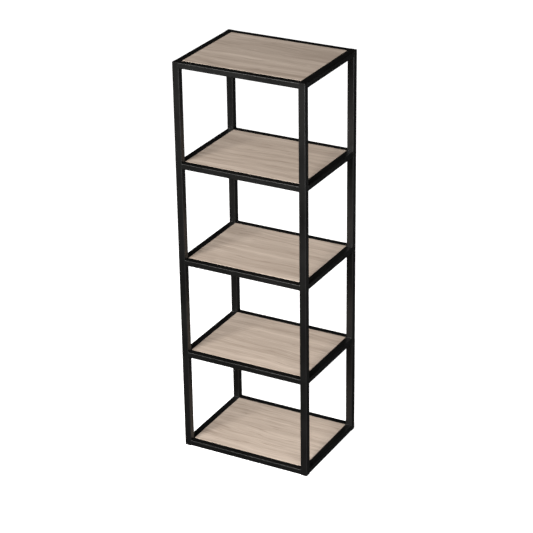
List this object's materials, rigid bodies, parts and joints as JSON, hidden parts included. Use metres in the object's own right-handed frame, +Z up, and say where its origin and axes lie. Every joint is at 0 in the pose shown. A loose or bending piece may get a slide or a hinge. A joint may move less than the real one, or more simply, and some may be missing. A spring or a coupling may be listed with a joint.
{
  "type": "open storage tower",
  "caption": "Slim free-standing open storage tower: square-tube corner posts joined by a ring of rails at each level, with a flush wood-look board inside each ring.",
  "frame": {"origin": "on the floor, under the middle of the tower", "axes": "+Z up, +X to the tower's right as seen by someone facing its front, -Y out of its front"},
  "size_m": [0.4, 0.31, 1.18],
  "materials": {
    "frame_paint": "satin black powder coat on square steel tube",
    "board_laminate": "matt pale grey-brown wood-look laminate, with its grain from side to side",
    "glide_plastic": "moulded black plastic",
    "screw_zinc": "bright zinc plate"
  },
  "bodies": {
    "root": {"post_front_left": "frame_paint", "post_front_right": "frame_paint", "post_back_left": "frame_paint", "post_back_right": "frame_paint", "rail_front_1": "frame_paint", "rail_back_1": "frame_paint", "rail_left_1": "frame_paint", "rail_right_1": "frame_paint", "rail_front_2": "frame_paint", "rail_back_2": "frame_paint", "rail_left_2": "frame_paint", "rail_right_2": "frame_paint", "rail_front_3": "frame_paint", "rail_back_3": "frame_paint", "rail_left_3": "frame_paint", "rail_right_3": "frame_paint", "rail_front_4": "frame_paint", "rail_back_4": "frame_paint", "rail_left_4": "frame_paint", "rail_right_4": "frame_paint", "rail_front_5": "frame_paint", "rail_back_5": "frame_paint", "rail_left_5": "frame_paint", "rail_right_5": "frame_paint", "shelf_board_1": "board_laminate", "shelf_board_2": "board_laminate", "shelf_board_3": "board_laminate", "shelf_board_4": "board_laminate", "shelf_board_5": "board_laminate", "screw_1_front_left": "screw_zinc", "screw_1_front_right": "screw_zinc", "screw_1_back_left": "screw_zinc", "screw_1_back_right": "screw_zinc", "screw_2_front_left": "screw_zinc", "screw_2_front_right": "screw_zinc", "screw_2_back_left": "screw_zinc", "screw_2_back_right": "screw_zinc", "screw_3_front_left": "screw_zinc", "screw_3_front_right": "screw_zinc", "screw_3_back_left": "screw_zinc", "screw_3_back_right": "screw_zinc", "screw_4_front_left": "screw_zinc", "screw_4_front_right": "screw_zinc", "screw_4_back_left": "screw_zinc", "screw_4_back_right": "screw_zinc", "screw_5_front_left": "screw_zinc", "screw_5_front_right": "screw_zinc", "screw_5_back_left": "screw_zinc", "screw_5_back_right": "screw_zinc", "glide_front_left": "glide_plastic", "glide_front_right": "glide_plastic", "glide_back_left": "glide_plastic", "glide_back_right": "glide_plastic", "cap_front_left": "frame_paint", "cap_front_right": "frame_paint", "cap_back_left": "frame_paint", "cap_back_right": "frame_paint"}
  },
  "joints": []
}
